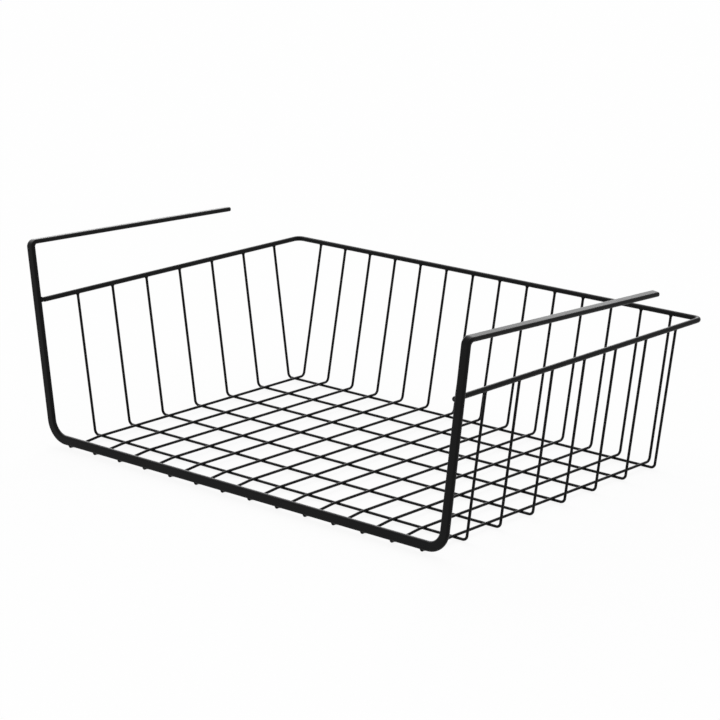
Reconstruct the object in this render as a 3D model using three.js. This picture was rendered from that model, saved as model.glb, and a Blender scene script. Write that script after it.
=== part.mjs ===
// Under-shelf wire basket: a flat bar hanger frame, a round rim wire and a welded mesh of thin wires.
// Millimetres, X to the right, Y to the back, Z up. The origin lies under the middle of the basket,
// on the plane that its floor wires stand on.
import * as THREE from 'three';

// Stock, coated
const wireDiameter = 1.9;
const rimDiameter = 3.6;
const barWidth = 6.8;
const barThickness = 3.2;
const barEdgeChamfer = 0.95; // stands for the rounded edges

// Left between two pieces that are welded to each other
const weldGap = 0.2;

// Overall sizes
const overallWidth = 400; // over the outer edges of the two arms
const overallDepth = 262; // hanger front face to the back of the rim
const overallHeight = 144.5; // over the inner edges of the arms where they leave the uprights
const rimHeight = 103.3; // middle of the rim wire

// Hanger frame
const uprightLean = 7.3; // degrees outward from the vertical
const sillCornerRadius = 14; // to the middle of the bar
const armCornerRadius = 3.5;
const armLength = 194; // from the hanger front face
const armDroop = 2.3; // degrees that the arms are bent past square, so that their tips fall

// Rim
const rimCornerRadius = 5;
const rimEndSetback = 2.2; // rim ends behind the hanger front face

// Mesh
const crossCount = 7; // wires that run from side to side
const longCount = 14; // wires that run from front to back
const sideLean = 8.1; // degrees outward from the vertical
const backLean = 11.7; // degrees backward from the vertical
const wireBendRadius = 3.5; // to the middle of the wire
const frontBay = 33.6; // hanger front face to the first cross wire
const rearBendClearance = 2.9; // last cross wire to where the long wires begin to rise
const sideBendClearance = 5.1; // outermost long wire to where the cross wires begin to rise
const rimInset = 0.5; // wall wires aim this far inside the middle of the rim, and end under it
const sillTipSetback = 1; // long wire ends behind the hanger front face
const joggleRadius = 20; // where the long wires step down to pass under the sill
const joggleClearance = 4; // step to the sill and to the first cross wire

// Facets
const wireSides = 8;
const rimSides = 12;
const bendStep = 15; // greatest turn in degrees between two rings of a bend

const radians = THREE.MathUtils.degToRad;
const rightward = new THREE.Vector3(1, 0, 0);
const backward = new THREE.Vector3(0, 1, 0);
const upward = new THREE.Vector3(0, 0, 1);
const forward = new THREE.Vector3(0, -1, 0);

// Heights of the layers, from the standing plane up
const crossHeight = wireDiameter / 2;
const layerStep = wireDiameter + weldGap;
const longHeight = crossHeight + layerStep;
const sillTipHeight = crossHeight;
const sillHeight = sillTipHeight + wireDiameter / 2 + weldGap + barWidth / 2;

// Front frame
const frontFace = -overallDepth / 2;
const barMiddle = frontFace + barThickness / 2;
const frameLean = radians(uprightLean);
const armBendReach = armCornerRadius * Math.tan(radians(90 + armDroop) / 2);
const armReach = barWidth / 2 * Math.cos(frameLean)
  + (barThickness / 2 - barEdgeChamfer) * Math.sin(frameLean);
const armRise = (armCornerRadius + barThickness / 2 - armBendReach) * Math.cos(frameLean)
  + (barWidth / 2 - barEdgeChamfer) * Math.sin(frameLean);
const armX = overallWidth / 2 - armReach;
const armHeight = overallHeight - armRise;
const uprightX = (height) => armX - (armHeight - height) * Math.tan(frameLean);

// Rim, welded against the inner edges of the uprights
const rimOffset = barWidth / 2 + weldGap + rimDiameter / 2;
const rimX = uprightX(rimHeight) - rimOffset / Math.cos(frameLean);
const rimBack = overallDepth / 2 - rimDiameter / 2;

// Walls, whose wires end against the underside of the rim
const sideTopX = rimX - rimInset / Math.cos(radians(sideLean));
const backTopY = rimBack - rimInset / Math.cos(radians(backLean));
const sideX = (height) => sideTopX - (rimHeight - height) * Math.tan(radians(sideLean));
const backY = (height) => backTopY - (rimHeight - height) * Math.tan(radians(backLean));
const rimToTip = rimDiameter / 2 + weldGap;
const tipHeight = (lean) => rimHeight
  + rimInset * Math.sin(radians(lean))
  - rimToTip * Math.cos(radians(lean));

// A bend takes this length off each of the two straight runs that it joins
const bendReach = (lean) => wireBendRadius * Math.tan(radians(90 - lean) / 2);
const firstCrossY = frontFace + frontBay;
const lastCrossY = backY(longHeight) - bendReach(backLean) - wireDiameter / 2 - rearBendClearance;
const outerLongX = sideX(crossHeight) - bendReach(sideLean) - wireDiameter / 2 - sideBendClearance;

// A sweep path that keeps the stations it is given: a point, a tangent and the way the section faces
class StationPath extends THREE.Curve {
  constructor(stations) {
    super();
    this.stations = stations;
  }

  getSpacedPoints() {
    return this.stations.map((station) => station.point);
  }

  computeFrenetFrames() {
    const tangents = this.stations.map((station) => station.tangent);
    const normals = this.stations.map((station) => station.face);
    const binormals = this.stations.map((station) => station.tangent.clone().cross(station.face));
    return { tangents, normals, binormals };
  }
}

// Stations along straight runs from corner to corner, with each inner corner rounded to its radius
function bentStations(corners, faceAt) {
  const stations = [];
  const addStation = (point, tangent) => {
    stations.push({ point, tangent, face: faceAt(tangent, point) });
  };
  const runs = corners.slice(1).map((corner, k) => corner.point.clone().sub(corners[k].point).normalize());
  addStation(corners[0].point, runs[0]);
  for (let k = 1; k < corners.length - 1; k += 1) {
    const incoming = runs[k - 1];
    const outgoing = runs[k];
    const turn = incoming.angleTo(outgoing);
    const radius = corners[k].radius;
    const inward = outgoing.clone().addScaledVector(incoming, -Math.cos(turn)).normalize();
    const bendStart = corners[k].point.clone().addScaledVector(incoming, -radius * Math.tan(turn / 2));
    const centre = bendStart.clone().addScaledVector(inward, radius);
    const steps = Math.max(1, Math.ceil(turn / radians(bendStep)));
    for (let s = 0; s <= steps; s += 1) {
      const angle = turn * s / steps;
      const cosine = Math.cos(angle);
      const sine = Math.sin(angle);
      const tangent = incoming.clone().multiplyScalar(cosine).addScaledVector(inward, sine);
      const outward = incoming.clone().multiplyScalar(sine).addScaledVector(inward, -cosine);
      addStation(centre.clone().addScaledVector(outward, radius), tangent);
    }
  }
  const last = corners.length - 1;
  addStation(corners[last].point, runs[last - 1]);
  return stations;
}

// A regular polygon whose flats lie a diameter apart
function roundSection(diameter, sides) {
  const cornerRadius = diameter / 2 / Math.cos(Math.PI / sides);
  const corners = [];
  for (let k = 0; k < sides; k += 1) {
    const angle = (2 * k + 1) * Math.PI / sides;
    corners.push(new THREE.Vector2(Math.cos(angle), Math.sin(angle)).multiplyScalar(cornerRadius));
  }
  return new THREE.Shape(corners);
}

// The flat bar with its edges broken: its thickness first, its width second
function barSection() {
  const halfThickness = barThickness / 2;
  const halfWidth = barWidth / 2;
  const section = new THREE.Shape();
  section.moveTo(halfThickness, barEdgeChamfer - halfWidth);
  section.lineTo(halfThickness, halfWidth - barEdgeChamfer);
  section.lineTo(halfThickness - barEdgeChamfer, halfWidth);
  section.lineTo(barEdgeChamfer - halfThickness, halfWidth);
  section.lineTo(-halfThickness, halfWidth - barEdgeChamfer);
  section.lineTo(-halfThickness, barEdgeChamfer - halfWidth);
  section.lineTo(barEdgeChamfer - halfThickness, -halfWidth);
  section.lineTo(halfThickness - barEdgeChamfer, -halfWidth);
  section.closePath();
  return section;
}

// Black powder coat, the same on every piece
function coatedPiece(name, section, stations) {
  const geometry = new THREE.ExtrudeGeometry(section, {
    steps: stations.length - 1,
    extrudePath: new StationPath(stations),
  });
  const coat = new THREE.MeshStandardMaterial({ color: 0x17171a, roughness: 0.42, metalness: 0.1 });
  const piece = new THREE.Mesh(geometry, coat);
  piece.name = name;
  return piece;
}

const corner = (x, y, z, radius = 0) => ({ point: new THREE.Vector3(x, y, z), radius });

// The wide face of the bar looks forward on the sill and uprights. It turns upward onto the arms,
// which keep the tilt of the uprights because the bar is bent square across its width.
function hangerFace(tangent, point) {
  const onFront = Math.abs(tangent.y) < Number.EPSILON;
  if (onFront) {
    return forward.clone();
  }
  const across = new THREE.Vector3(Math.sign(point.x) * Math.cos(frameLean), 0, -Math.sin(frameLean));
  return across.cross(tangent);
}

// One flat bar: arm, upright, sill, upright and arm
function makeHangerFrame() {
  const armTipY = frontFace + armLength;
  const armTipHeight = armHeight - (armTipY - barMiddle) * Math.tan(radians(armDroop)) * Math.cos(frameLean);
  const armTipX = uprightX(armTipHeight);
  const sillX = uprightX(sillHeight);
  const stations = bentStations([
    corner(-armTipX, armTipY, armTipHeight),
    corner(-armX, barMiddle, armHeight, armCornerRadius),
    corner(-sillX, barMiddle, sillHeight, sillCornerRadius),
    corner(sillX, barMiddle, sillHeight, sillCornerRadius),
    corner(armX, barMiddle, armHeight, armCornerRadius),
    corner(armTipX, armTipY, armTipHeight),
  ], hangerFace);
  return coatedPiece('hanger_frame', barSection(), stations);
}

// A round wire along the tops of the side and back walls, open at the front
function makeRimWire() {
  const rimFront = frontFace + rimEndSetback;
  const stations = bentStations([
    corner(-rimX, rimFront, rimHeight),
    corner(-rimX, rimBack, rimHeight, rimCornerRadius),
    corner(rimX, rimBack, rimHeight, rimCornerRadius),
    corner(rimX, rimFront, rimHeight),
  ], () => upward.clone());
  return coatedPiece('rim_wire', roundSection(rimDiameter, rimSides), stations);
}

// Down the left wall, across the floor and up the right wall
function makeCrossWire(index) {
  const y = THREE.MathUtils.lerp(firstCrossY, lastCrossY, index / (crossCount - 1));
  const tipZ = tipHeight(sideLean);
  const stations = bentStations([
    corner(-sideX(tipZ), y, tipZ),
    corner(-sideX(crossHeight), y, crossHeight, wireBendRadius),
    corner(sideX(crossHeight), y, crossHeight, wireBendRadius),
    corner(sideX(tipZ), y, tipZ),
  ], () => backward.clone());
  return coatedPiece(`cross_wire_${index + 1}`, roundSection(wireDiameter, wireSides), stations);
}

// From under the sill, up over the cross wires, back along the floor and up the back wall
function makeLongWire(index) {
  const x = THREE.MathUtils.lerp(-outerLongX, outerLongX, index / (longCount - 1));
  const stepFront = frontFace + barThickness + joggleClearance;
  const stepBack = firstCrossY - wireDiameter / 2 - joggleClearance;
  const tipZ = tipHeight(backLean);
  const stations = bentStations([
    corner(x, frontFace + sillTipSetback, sillTipHeight),
    corner(x, stepFront, sillTipHeight, joggleRadius),
    corner(x, stepBack, longHeight, joggleRadius),
    corner(x, backY(longHeight), longHeight, wireBendRadius),
    corner(x, backY(tipZ), tipZ),
  ], () => rightward.clone());
  const number = String(index + 1).padStart(2, '0');
  return coatedPiece(`long_wire_${number}`, roundSection(wireDiameter, wireSides), stations);
}

const mesh = new THREE.Group();
for (let k = 0; k < crossCount; k += 1) {
  mesh.add(makeCrossWire(k));
}
for (let k = 0; k < longCount; k += 1) {
  mesh.add(makeLongWire(k));
}

const basket = new THREE.Group();
basket.add(makeHangerFrame(), makeRimWire(), mesh);

export default basket;
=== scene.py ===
# Looks of an under-shelf wire basket: a flat bar hanger, a round rim and a welded mesh of thin
# wires, all under one satin black powder coat. Metres, in the frame's own axes.
import math

import bmesh
import bpy
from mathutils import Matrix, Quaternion, Vector


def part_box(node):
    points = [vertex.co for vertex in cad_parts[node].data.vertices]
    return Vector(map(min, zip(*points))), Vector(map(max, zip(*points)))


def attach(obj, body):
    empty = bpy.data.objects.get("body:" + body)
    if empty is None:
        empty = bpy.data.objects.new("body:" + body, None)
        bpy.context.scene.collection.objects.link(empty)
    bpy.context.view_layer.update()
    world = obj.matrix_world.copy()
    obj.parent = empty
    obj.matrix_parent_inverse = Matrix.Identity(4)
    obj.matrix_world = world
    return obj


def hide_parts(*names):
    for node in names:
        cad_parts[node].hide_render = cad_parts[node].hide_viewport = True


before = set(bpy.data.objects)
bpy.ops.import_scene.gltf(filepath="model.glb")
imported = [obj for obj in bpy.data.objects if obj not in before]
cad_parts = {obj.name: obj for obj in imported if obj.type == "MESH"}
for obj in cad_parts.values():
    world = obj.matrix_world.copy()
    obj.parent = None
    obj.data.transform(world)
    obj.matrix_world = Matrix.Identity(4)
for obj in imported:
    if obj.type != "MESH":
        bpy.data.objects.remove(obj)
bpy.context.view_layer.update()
crossNames = sorted(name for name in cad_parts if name.startswith("cross_wire_"))
longNames = sorted(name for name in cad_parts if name.startswith("long_wire_"))
print("frame loaded:", len(crossNames), "cross and", len(longNames), "long wires, rim, hanger")


# Hand tools for the mesh pieces

mergeDistance = 1e-6  # points nearer to each other than this become one
pickDistance = 0.0001  # a face is picked if its middle lies this near to a known place
leastBendSteps = 3


def startFrom(addPrimitive, name, **settings):
    if bpy.context.mode != "OBJECT":
        bpy.ops.object.mode_set(mode="OBJECT")
    bpy.ops.object.select_all(action="DESELECT")
    addPrimitive(**settings)
    piece = bpy.context.object
    piece.name = name
    piece.data.name = name
    bpy.ops.object.transform_apply(location=True, rotation=True, scale=True)
    bpy.ops.object.mode_set(mode="EDIT")
    bpy.ops.mesh.select_all(action="SELECT")
    return piece


def facing(direction):
    return direction.to_track_quat("Z", "Y").to_euler()


def selectFaces(piece, wanted):
    bpy.ops.mesh.select_mode(type="FACE")
    bpy.ops.mesh.select_all(action="DESELECT")
    mesh = bmesh.from_edit_mesh(piece.data)
    for face in mesh.faces:
        face.select_set(wanted(face))
    bmesh.update_edit_mesh(piece.data)


def pull(offset):
    bpy.ops.mesh.extrude_region_move(TRANSFORM_OT_translate={"value": tuple(offset)})


def widen(factors, centre):
    bpy.ops.transform.resize(value=tuple(factors), center_override=tuple(centre))


# Rounds the rim of the selected end face outward, in a quarter circle
def roundTip(radius, steps):
    quarter = math.pi / 2
    for k in range(steps):
        begin = quarter * k / steps
        end = quarter * (k + 1) / steps
        bpy.ops.mesh.inset(
            thickness=radius * (math.cos(begin) - math.cos(end)),
            depth=radius * (math.sin(end) - math.sin(begin)),
        )


# Pulls the selected section along straight runs and spins it round each inner corner of the path,
# whose entries are (point, bend radius)
def drawAlong(path, bendStep):
    place = path[0][0]
    for (before, _), (corner, radius), (after, _) in zip(path, path[1:], path[2:]):
        incoming = (corner - before).normalized()
        outgoing = (after - corner).normalized()
        turn = incoming.angle(outgoing)
        axis = incoming.cross(outgoing).normalized()
        begin = corner - incoming * radius * math.tan(turn / 2)
        centre = begin + axis.cross(incoming) * radius
        pull(begin - place)
        steps = max(leastBendSteps, math.ceil(math.degrees(turn) / bendStep))
        bpy.ops.mesh.spin(steps=steps, angle=-turn, center=centre, axis=axis)  # turns left-handed
        place = centre + Quaternion(axis, turn) @ (begin - centre)
    pull(path[-1][0] - place)


def closeMesh():
    bpy.ops.mesh.select_all(action="SELECT")
    bpy.ops.mesh.remove_doubles(threshold=mergeDistance)
    bpy.ops.mesh.normals_make_consistent(inside=False)


def applyModifier(kind, **settings):
    piece = bpy.context.object
    bpy.ops.object.modifier_add(type=kind)
    modifier = piece.modifiers[-1]
    for name, value in settings.items():
        setattr(modifier, name, value)
    bpy.ops.object.modifier_apply(modifier=modifier.name)


# Smooth round faces, with the flat ones kept flat
def smooth(angle):
    bpy.ops.object.mode_set(mode="OBJECT")
    bpy.ops.object.shade_smooth_by_angle(angle=math.radians(angle))
    applyModifier("WEIGHTED_NORMAL", keep_sharp=True)


def dress(piece, material, *nodes):
    piece.data.materials.clear()
    piece.data.materials.append(material)
    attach(piece, "root")
    if nodes:
        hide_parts(*nodes)


# A copy with its own mesh, moved by an offset
def copyMoved(piece, name, offset):
    bpy.ops.object.select_all(action="DESELECT")
    piece.select_set(True)
    bpy.context.view_layer.objects.active = piece
    bpy.ops.object.duplicate(linked=False)
    bpy.ops.transform.translate(value=tuple(offset))
    bpy.ops.object.transform_apply(location=True, rotation=True, scale=True)
    copied = bpy.context.object
    copied.name = name
    copied.data.name = name
    return copied


# Squashes the selected section upward, pulls it on flat and then lets it grow round again.
# Gives the middle of the squashed end and the place where the wire is round.
def pressTip(start, run, radius, press):
    top = start + Vector((0, 0, radius))
    flat = Vector((press["spread"], 1, press["squash"]))
    widen(flat, top)
    pull(run * press["length"])
    pull(run * press["runOut"])
    begin = start + run * (press["length"] + press["runOut"])
    widen([1 / factor for factor in flat], top + begin - start)
    return top - Vector((0, 0, radius * press["squash"])), begin


# A round wire from its first to its last path point, with rounded ends
def drawWire(name, path, radius, wire, press=None):
    first, last = path[0][0], path[-1][0]
    firstRun = (path[1][0] - first).normalized()
    lastRun = (last - path[-2][0]).normalized()
    start = first + firstRun * wire["tipRadius"]
    stop = last - lastRun * wire["tipRadius"]
    piece = startFrom(
        bpy.ops.mesh.primitive_circle_add, name, vertices=wire["sides"], radius=radius,
        fill_type="NGON", location=start, rotation=facing(firstRun),
    )
    middle, begin = pressTip(start, firstRun, radius, press) if press else (start, start)
    drawAlong([(begin, 0), *path[1:-1], (stop, 0)], wire["bendStep"])
    roundTip(wire["tipRadius"], wire["tipSteps"])
    closeMesh()
    selectFaces(piece, lambda face: (face.calc_center_median() - middle).length < pickDistance)
    roundTip(wire["tipRadius"], wire["tipSteps"])
    closeMesh()
    smooth(wire["smoothAngle"])
    return piece


# Shader maths: one socket, on which sums and products add Math nodes

class Wired:
    def __init__(self, tree, socket=None):
        self.tree = tree
        self.socket = socket

    def add(self, kind, settings=None, inputs=None, output=0):
        node = self.tree.nodes.new("ShaderNode" + kind)
        for name, value in (settings or {}).items():
            setattr(node, name, value)
        for name, value in (inputs or {}).items():
            if isinstance(value, Wired):
                self.tree.links.new(value.socket, node.inputs[name])
            else:
                node.inputs[name].default_value = value
        return Wired(self.tree, node.outputs[output])

    def maths(self, operation, first, second):
        return self.add("Math", {"operation": operation}, {0: first, 1: second})

    def __add__(self, other):
        return self.maths("ADD", self, other)

    def __radd__(self, other):
        return self.maths("ADD", other, self)

    def __sub__(self, other):
        return self.maths("SUBTRACT", self, other)

    def __rsub__(self, other):
        return self.maths("SUBTRACT", other, self)

    def __mul__(self, other):
        return self.maths("MULTIPLY", self, other)

    def __rmul__(self, other):
        return self.maths("MULTIPLY", other, self)

    def into(self, node, name):
        self.tree.links.new(self.socket, node.inputs[name])


# Satin black powder coat

coat = {
    "deepBlack": (0.0022, 0.0022, 0.0024, 1.0),
    "worn": (0.0048, 0.0048, 0.0050, 1.0),
    "driftSize": 0.030,
    "driftDetail": 3.0,
    "peelSize": 0.0011,
    "peelDetail": 1.0,
    "grainSize": 0.00028,
    "grainDetail": 2.0,
    "grainShare": 0.4,  # of the tone, the rest follows the drift
    "roughness": 0.36,
    "roughnessDrift": 0.12,
    "roughnessGrain": 0.10,
    "refraction": 1.18,
    "peelShare": 0.7,
    "bumpStrength": 0.5,
    "bumpDepth": 0.00004,
}
barChanges = {
    "deepBlack": (0.0028, 0.0028, 0.0030, 1.0),
    "worn": (0.0058, 0.0058, 0.0060, 1.0),
    "roughness": 0.33,
}
weldChanges = {"peelSize": 0.0007, "bumpStrength": 0.8, "roughness": 0.42}
noiseMiddle = 0.5
mixSockets = {"factor": 0, "first": 6, "second": 7, "result": 2}  # of a Mix node set to colours


def makeCoat(name, coat):
    material = bpy.data.materials.new(name)
    material.use_nodes = True
    tree = material.node_tree
    shader = tree.nodes["Principled BSDF"]
    shader.inputs["IOR"].default_value = coat["refraction"]
    new = Wired(tree)
    place = new.add("TexCoord", output="Object")

    def noise(kind):
        scale, detail = 1 / coat[kind + "Size"], coat[kind + "Detail"]
        return new.add("TexNoise", None, {"Vector": place, "Scale": scale, "Detail": detail})

    drift = noise("drift")
    peel = noise("peel")
    grain = noise("grain")
    wear = drift * (1 - coat["grainShare"]) + grain * coat["grainShare"]
    tone = new.add("Mix", {"data_type": "RGBA"}, {
        mixSockets["factor"]: wear,
        mixSockets["first"]: coat["deepBlack"],
        mixSockets["second"]: coat["worn"],
    }, output=mixSockets["result"])
    tone.into(shader, "Base Color")
    driftPart = (drift - noiseMiddle) * coat["roughnessDrift"]
    grainPart = (grain - noiseMiddle) * coat["roughnessGrain"]
    (coat["roughness"] + driftPart + grainPart).into(shader, "Roughness")
    relief = peel * coat["peelShare"] + grain * (1 - coat["peelShare"])
    bump = new.add(
        "Bump", None,
        {"Strength": coat["bumpStrength"], "Distance": coat["bumpDepth"], "Height": relief},
    )
    bump.into(shader, "Normal")
    return material


wireCoat = makeCoat("powder coat on wire", coat)
barCoat = makeCoat("powder coat on bar", coat | barChanges)
weldCoat = makeCoat("powder coat on welds", coat | weldChanges)
print("coat mixed")


# Hanger: one flat bar, modelled from the middle of the sill to the right arm tip and mirrored.
# The arms keep the tilt of the uprights, because the bar is bent square across its width.

hanger = {
    "barWidth": 0.0068,
    "barThickness": 0.0032,
    "edgeRadius": 0.00145,
    "edgeSteps": 7,
    "edgeBreak": 0.00095,  # the frame's bar has flats there, which set how far it reaches
    "uprightLean": 7.3,  # degrees outward
    "armDroop": 2.3,  # degrees past square, which lowers the tips
    "sillCornerRadius": 0.014,
    "armCornerRadius": 0.0035,
    "bendStep": 6,  # degrees
    "tipRadius": 0.0005,
    "tipSteps": 3,
    "smoothAngle": 35,
}


def makeHanger():
    low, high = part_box("hanger_frame")
    lean = math.radians(hanger["uprightLean"])
    droop = math.radians(hanger["armDroop"])
    halfWidth = hanger["barWidth"] / 2
    halfThickness = hanger["barThickness"] / 2
    upRun = Vector((math.sin(lean), 0, math.cos(lean)))
    armRun = Vector((0, math.cos(droop), 0)) - upRun * math.sin(droop)

    # The middle line, from how far the tilted bar reaches out and up over its arm corner
    bendReach = hanger["armCornerRadius"] * math.tan((math.pi / 2 + droop) / 2)
    armReach = halfWidth * math.cos(lean) + (halfThickness - hanger["edgeBreak"]) * math.sin(lean)
    armRise = halfThickness * math.cos(lean) + (halfWidth - hanger["edgeBreak"]) * math.sin(lean)
    bendRise = (hanger["armCornerRadius"] - bendReach) * math.cos(lean)
    y = low.y + halfThickness
    sillZ = low.z + halfWidth
    armCorner = Vector((high.x - armReach, y, high.z - armRise - bendRise))
    sillCorner = armCorner - upRun * ((armCorner.z - sillZ) / math.cos(lean))
    sillMiddle = Vector((0, y, sillZ))
    armLength = (high.y - y - math.sin(droop) * halfThickness) / math.cos(droop)
    armTip = armCorner + armRun * (armLength - hanger["tipRadius"])

    piece = startFrom(
        bpy.ops.mesh.primitive_plane_add, "coated_hanger_frame", size=1,
        location=sillMiddle, rotation=(0, math.pi / 2, 0),
    )
    widen((1, hanger["barThickness"], hanger["barWidth"]), sillMiddle)
    bpy.ops.mesh.bevel(
        offset=hanger["edgeRadius"], segments=hanger["edgeSteps"], affect="VERTICES",
    )
    bpy.ops.mesh.select_all(action="SELECT")
    path = [
        (sillMiddle, 0),
        (sillCorner, hanger["sillCornerRadius"]),
        (armCorner, hanger["armCornerRadius"]),
        (armTip, 0),
    ]
    drawAlong(path, hanger["bendStep"])
    roundTip(hanger["tipRadius"], hanger["tipSteps"])
    selectFaces(piece, lambda face: abs(face.calc_center_median().x) < pickDistance)
    bpy.ops.mesh.delete(type="ONLY_FACE")
    bpy.ops.object.mode_set(mode="OBJECT")
    applyModifier("MIRROR", use_mirror_merge=True, merge_threshold=mergeDistance)
    bpy.ops.object.mode_set(mode="EDIT")
    closeMesh()
    smooth(hanger["smoothAngle"])
    dress(piece, barCoat, "hanger_frame")


makeHanger()
print("hanger bent")


# Rim: a round wire along the left, back and right

rim = {
    "cornerRadius": 0.005,
    "sides": 28,
    "bendStep": 6,
    "tipRadius": 0.0012,
    "tipSteps": 4,
    "smoothAngle": 40,
}


def makeRim():
    low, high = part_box("rim_wire")
    radius = (high.z - low.z) / 2
    x = high.x - radius
    back = high.y - radius
    z = (low.z + high.z) / 2
    path = [
        (Vector((-x, low.y, z)), 0),
        (Vector((-x, back, z)), rim["cornerRadius"]),
        (Vector((x, back, z)), rim["cornerRadius"]),
        (Vector((x, low.y, z)), 0),
    ]
    piece = drawWire("coated_rim_wire", path, radius, rim)
    dress(piece, wireCoat, "rim_wire")


makeRim()
print("rim bent")


# Mesh wires. A cross wire is a U: down the left wall, across the floor and up the right wall.
# A long wire is an L: from under the sill, over the cross wires, back along the floor and up the
# back wall.

wire = {
    "sideLean": 8.1,  # degrees outward
    "backLean": 11.7,
    "bendRadius": 0.0035,
    "layerGap": 0.0002,  # between the two layers of the floor
    "weldSink": 0.0008,  # how far the lower layer is pressed up into the upper one
    "stepFront": 0.006,  # the step down to the sill, from the wire's front tip
    "stepBack": 0.02765,
    "stepRadius": 0.020,
    "sides": 16,
    "bendStep": 8,
    "tipRadius": 0.0004,
    "tipSteps": 3,
    "smoothAngle": 50,
}
sillPress = {  # how the front tip of a long wire is flattened where it is welded under the sill
    "length": 0.0019,
    "runOut": 0.0025,
    "spread": 1.15,
    "squash": 0.62,
}


# The right-hand tip of a cross wire, and the way it points
def crossTip(name):
    low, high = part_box(name)
    radius = (high.y - low.y) / 2
    lean = math.radians(wire["sideLean"])
    run = Vector((math.sin(lean), 0, math.cos(lean)))
    y = (low.y + high.y) / 2
    return Vector((high.x - radius * math.cos(lean), y, high.z - radius * math.sin(lean))), run


# The rear tip of a long wire, and the way it points
def longTip(name):
    low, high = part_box(name)
    radius = (high.x - low.x) / 2
    lean = math.radians(wire["backLean"])
    run = Vector((0, math.sin(lean), math.cos(lean)))
    x = (low.x + high.x) / 2
    return Vector((x, high.y - radius * math.cos(lean), high.z - radius * math.sin(lean))), run


# Copies the first wire to the places of the others
def dressRow(first, names):
    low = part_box(names[0])[0]
    for name in names[1:]:
        copied = copyMoved(first, "coated_" + name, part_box(name)[0] - low)
        dress(copied, wireCoat, name)
    dress(first, wireCoat, names[0])


def makeCrossWires():
    low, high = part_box(crossNames[0])
    radius = (high.y - low.y) / 2
    tip, run = crossTip(crossNames[0])
    floorZ = low.z + radius + wire["weldSink"]
    corner = tip - run * ((tip.z - floorZ) / run.z)
    mirrored = Vector((-1, 1, 1))
    path = [
        (tip * mirrored, 0),
        (corner * mirrored, wire["bendRadius"]),
        (corner, wire["bendRadius"]),
        (tip, 0),
    ]
    dressRow(drawWire("coated_" + crossNames[0], path, radius, wire), crossNames)


def makeLongWires():
    low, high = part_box(longNames[0])
    radius = (high.x - low.x) / 2
    tip, run = longTip(longNames[0])
    sillTipZ = low.z + radius
    floorZ = sillTipZ + 2 * radius + wire["layerGap"]
    path = [
        (Vector((tip.x, low.y, sillTipZ)), 0),
        (Vector((tip.x, low.y + wire["stepFront"], sillTipZ)), wire["stepRadius"]),
        (Vector((tip.x, low.y + wire["stepBack"], floorZ)), wire["stepRadius"]),
        (tip - run * ((tip.z - floorZ) / run.z), wire["bendRadius"]),
        (tip, 0),
    ]
    dressRow(drawWire("coated_" + longNames[0], path, radius, wire, sillPress), longNames)


makeCrossWires()
print("cross wires bent")
makeLongWires()
print("long wires bent")


# Welds. Each is a pile of rings (height, half width across, half width along) in metres.

weld = {
    "sides": 12,
    "smoothAngle": 60,
    "tipRings": (  # from inside a wire's tip up into the rim, drawn out along the rim
        (-0.0010, 0.00090, 0.00090),
        (-0.0007, 0.00098, 0.00100),
        (-0.0003, 0.00101, 0.00115),
        (0.0001, 0.00102, 0.00145),
        (0.0004, 0.00098, 0.00170),
        (0.0010, 0.00080, 0.00150),
    ),
    "crossingRings": (  # between the two layers of the floor
        (-0.0006, 0.00060, 0.00060),
        (-0.0002, 0.00085, 0.00085),
        (0.0002, 0.00085, 0.00085),
        (0.0006, 0.00060, 0.00060),
    ),
    "sillRings": (  # between a long wire and the underside of the sill
        (-0.0009, 0.00075, 0.00090),
        (-0.0006, 0.00108, 0.00115),
        (-0.0002, 0.00125, 0.00125),
        (0.0000, 0.00145, 0.00130),
        (0.0003, 0.00155, 0.00130),
        (0.0008, 0.00090, 0.00090),
    ),
    "frameRings": (  # between the rim and the inner edge of an upright
        (-0.0018, 0.00100, 0.00070),
        (-0.0011, 0.00160, 0.00110),
        (-0.0005, 0.00180, 0.00120),
        (0.0001, 0.00190, 0.00120),
        (0.0006, 0.00200, 0.00120),
        (0.0011, 0.00210, 0.00110),
        (0.0016, 0.00120, 0.00070),
    ),
    "frameSetback": 0.0004,  # of their middle from the rim's front tip
    "frameSlant": 0.15,  # forward for each step outward
}
alongX, alongY = 0, 1  # the axis that a pile of rings is drawn out along


def pileRings(name, place, direction, rings, alongAxis):
    def spread(across, along):
        factors = [across] * 3
        factors[alongAxis] = along
        return factors

    height, across, along = rings[0]
    start = place + direction * height
    piece = startFrom(
        bpy.ops.mesh.primitive_circle_add, name, vertices=weld["sides"], radius=across,
        fill_type="NGON", location=start, rotation=facing(direction),
    )
    widen(spread(1, along / across), start)
    for nextHeight, nextAcross, nextAlong in rings[1:]:
        pull(direction * (nextHeight - height))
        widen(spread(nextAcross / across, nextAlong / along), place + direction * nextHeight)
        height, across, along = nextHeight, nextAcross, nextAlong
    closeMesh()
    bpy.ops.object.mode_set(mode="OBJECT")
    return piece


def repeat(count, offset):
    applyModifier(
        "ARRAY", count=count, use_relative_offset=False, use_constant_offset=True,
        constant_offset_displace=tuple(offset),
    )


def finishWelds(piece):
    smooth(weld["smoothAngle"])
    dress(piece, weldCoat)


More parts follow.
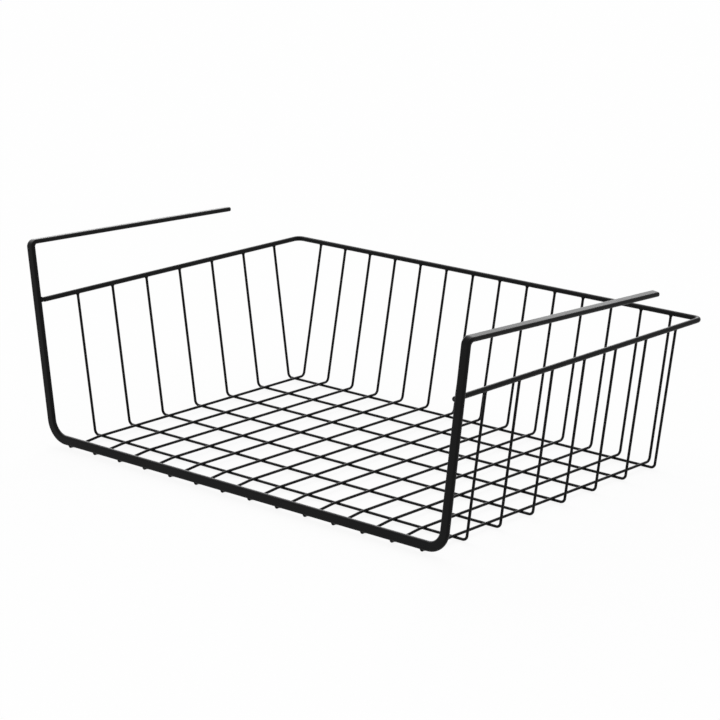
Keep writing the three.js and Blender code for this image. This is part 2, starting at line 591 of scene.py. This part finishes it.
def makeWelds():
    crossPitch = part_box(crossNames[1])[0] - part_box(crossNames[0])[0]
    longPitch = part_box(longNames[1])[0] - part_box(longNames[0])[0]
    crossLow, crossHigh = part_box(crossNames[0])
    longLow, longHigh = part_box(longNames[0])
    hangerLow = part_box("hanger_frame")[0]
    rimLow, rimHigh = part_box("rim_wire")
    upward = Vector((0, 0, 1))

    tip, run = crossTip(crossNames[0])
    sides = pileRings("side_rim_welds", tip, run, weld["tipRings"], alongY)
    applyModifier("MIRROR")
    repeat(len(crossNames), crossPitch)
    finishWelds(sides)

    tip, run = longTip(longNames[0])
    back = pileRings("back_rim_welds", tip, run, weld["tipRings"], alongX)
    repeat(len(longNames), longPitch)
    finishWelds(back)

    crossing = Vector((tip.x, (crossLow.y + crossHigh.y) / 2, crossLow.z + longHigh.x - longLow.x))
    crossing.z += (wire["layerGap"] + wire["weldSink"]) / 2
    floor = pileRings("floor_welds", crossing, upward, weld["crossingRings"], alongY)
    repeat(len(longNames), longPitch)
    repeat(len(crossNames), crossPitch)
    finishWelds(floor)

    underSill = Vector((tip.x, hangerLow.y + hanger["barThickness"] / 2, hangerLow.z))
    sill = pileRings("sill_welds", underSill, upward, weld["sillRings"], alongY)
    repeat(len(longNames), longPitch)
    finishWelds(sill)

    lean = math.radians(hanger["uprightLean"])
    outward = Vector((math.cos(lean), 0, -math.sin(lean)))
    rimRadius = (rimHigh.z - rimLow.z) / 2
    rimMiddle = Vector((
        rimHigh.x - rimRadius,
        rimLow.y + weld["frameSetback"],
        rimLow.z + rimRadius,
    ))
    joint = rimMiddle + outward * rimRadius
    slanted = (outward - Vector((0, weld["frameSlant"], 0))).normalized()
    uprights = pileRings("upright_welds", joint, slanted, weld["frameRings"], alongY)
    applyModifier("MIRROR")
    finishWelds(uprights)


makeWelds()
print("welds set")


# Stage: a pale floor, a white surround and a broad soft light from the left rear

studio = {
    "floorSize": 40.0,
    "floorColour": (0.97, 0.97, 0.97, 1.0),
    "floorRoughness": 0.9,
    "floorLift": 0.88,  # share of the floor that shows as plain white
    "white": (1.0, 1.0, 1.0, 1.0),
    "fill": 0.58,
    "keyStrength": 2.6,
    "keySpread": 70,  # degrees
    "keyAzimuth": -60,  # degrees from the back towards the right
    "keyElevation": 28,
}


# 1 for what the camera sees, also in gloss or through glass, and 0 for what lights the pieces
def seenDirectly(tree):
    path = Wired(tree).add("LightPath", output="Is Camera Ray")
    node = path.socket.node
    glossy = Wired(tree, node.outputs["Is Glossy Ray"])
    through = Wired(tree, node.outputs["Is Transmission Ray"])
    return path.maths("MAXIMUM", path, path.maths("MAXIMUM", glossy, through))


def makeFloor():
    bpy.ops.object.select_all(action="DESELECT")
    bpy.ops.mesh.primitive_plane_add(size=studio["floorSize"], location=(0, 0, 0))
    floor = bpy.context.object
    floor.name = "floor"
    material = bpy.data.materials.new("pale floor")
    material.use_nodes = True
    tree = material.node_tree
    matt = tree.nodes["Principled BSDF"]
    matt.inputs["Base Color"].default_value = studio["floorColour"]
    matt.inputs["Roughness"].default_value = studio["floorRoughness"]
    matt.inputs["Specular IOR Level"].default_value = 0.0
    new = Wired(tree)
    white = new.add("Emission", None, {"Color": studio["white"], "Strength": 1.0})
    shown = new.add(
        "MixShader", None,
        {0: seenDirectly(tree) * studio["floorLift"], 1: Wired(tree, matt.outputs[0]), 2: white},
    )
    shown.into(tree.nodes["Material Output"], "Surface")
    floor.data.materials.append(material)


def makeLight():
    world = bpy.data.worlds.new("white studio")
    world.use_nodes = True
    bpy.context.scene.world = world
    tree = world.node_tree
    fill = tree.nodes["Background"]
    fill.inputs["Color"].default_value = studio["white"]
    fill.inputs["Strength"].default_value = studio["fill"]
    new = Wired(tree)
    white = new.add("Background", None, {"Color": studio["white"], "Strength": 1.0})
    shown = new.add(
        "MixShader", None,
        {0: seenDirectly(tree), 1: Wired(tree, fill.outputs[0]), 2: white},
    )
    shown.into(tree.nodes["World Output"], "Surface")
    azimuth = math.radians(studio["keyAzimuth"])
    elevation = math.radians(studio["keyElevation"])
    towardLamp = Vector((
        math.sin(azimuth) * math.cos(elevation),
        math.cos(azimuth) * math.cos(elevation),
        math.sin(elevation),
    ))
    bpy.ops.object.light_add(type="SUN", rotation=facing(towardLamp))
    key = bpy.context.object
    key.name = "key light"
    key.data.energy = studio["keyStrength"]
    key.data.angle = math.radians(studio["keySpread"])


camera = {
    "azimuth": 42.130,  # degrees, from the front towards the right
    "elevation": 15.426,
    "roll": -0.142,
    "distance": 1.8275,
    "aim": (-0.00479, -0.00179, 0.06682),
    "lens": 132.94,
    "sensor": 36.0,  # millimetres, as the lens
    "farLimit": 100.0,
}


def makeCamera():
    azimuth = math.radians(camera["azimuth"])
    elevation = math.radians(camera["elevation"])
    back = Vector((
        math.sin(azimuth) * math.cos(elevation),
        -math.cos(azimuth) * math.cos(elevation),
        math.sin(elevation),
    ))
    level = (-back).to_track_quat("-Z", "Y")
    rolled = level @ Quaternion((0, 0, 1), math.radians(camera["roll"]))
    bpy.ops.object.camera_add(
        location=Vector(camera["aim"]) + back * camera["distance"], rotation=rolled.to_euler(),
    )
    seen = bpy.context.object
    seen.data.lens = camera["lens"]
    seen.data.sensor_width = camera["sensor"]
    seen.data.clip_end = camera["farLimit"]
    bpy.context.scene.camera = seen
    bpy.context.scene.view_settings.view_transform = "Standard"


makeFloor()
makeLight()
makeCamera()
print("stage set")
